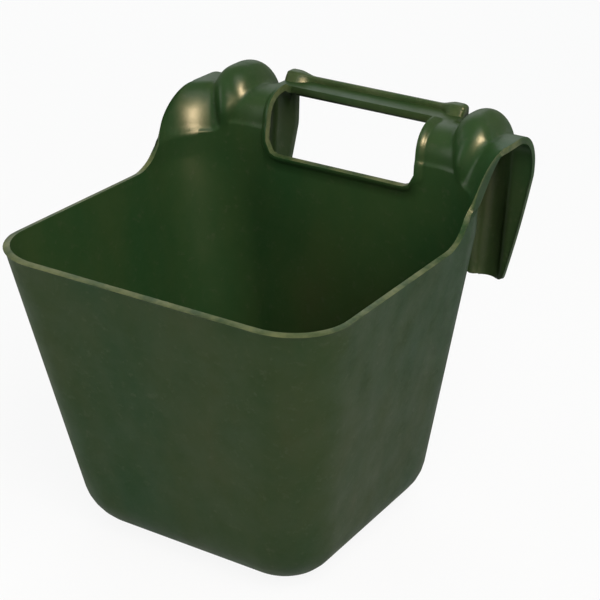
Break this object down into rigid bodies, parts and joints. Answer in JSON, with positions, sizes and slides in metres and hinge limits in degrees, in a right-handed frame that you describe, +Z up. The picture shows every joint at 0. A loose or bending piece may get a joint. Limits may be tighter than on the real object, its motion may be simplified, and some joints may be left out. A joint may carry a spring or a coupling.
{
  "type": "hanging horse feeder",
  "caption": "Hook-over feed tub for a horse: a deep tapered tub whose rear wall rises into a broad hook with tapering legs, raised ribs, a hand opening and a lipped handle.",
  "frame": {"origin": "on the ground under the middle of the feeder's overall width and depth, with the tub standing on its floor", "axes": "+X to the right seen from the horse's side, -Y towards the horse, so the hook is at +Y, +Z up"},
  "size_m": [0.28, 0.3404, 0.3115],
  "materials": {
    "moulded_plastic": "semi-gloss dark olive green"
  },
  "bodies": {
    "root": {"tub_floor": "moulded_plastic", "front_wall": "moulded_plastic", "right_wall": "moulded_plastic", "rear_wall": "moulded_plastic", "left_wall": "moulded_plastic", "hook_outer_left": "moulded_plastic", "hook_inner_left": "moulded_plastic", "rib_left": "moulded_plastic", "hook_outer_right": "moulded_plastic", "hook_inner_right": "moulded_plastic", "rib_right": "moulded_plastic", "handle_bar": "moulded_plastic", "handle_lip": "moulded_plastic"}
  },
  "joints": []
}
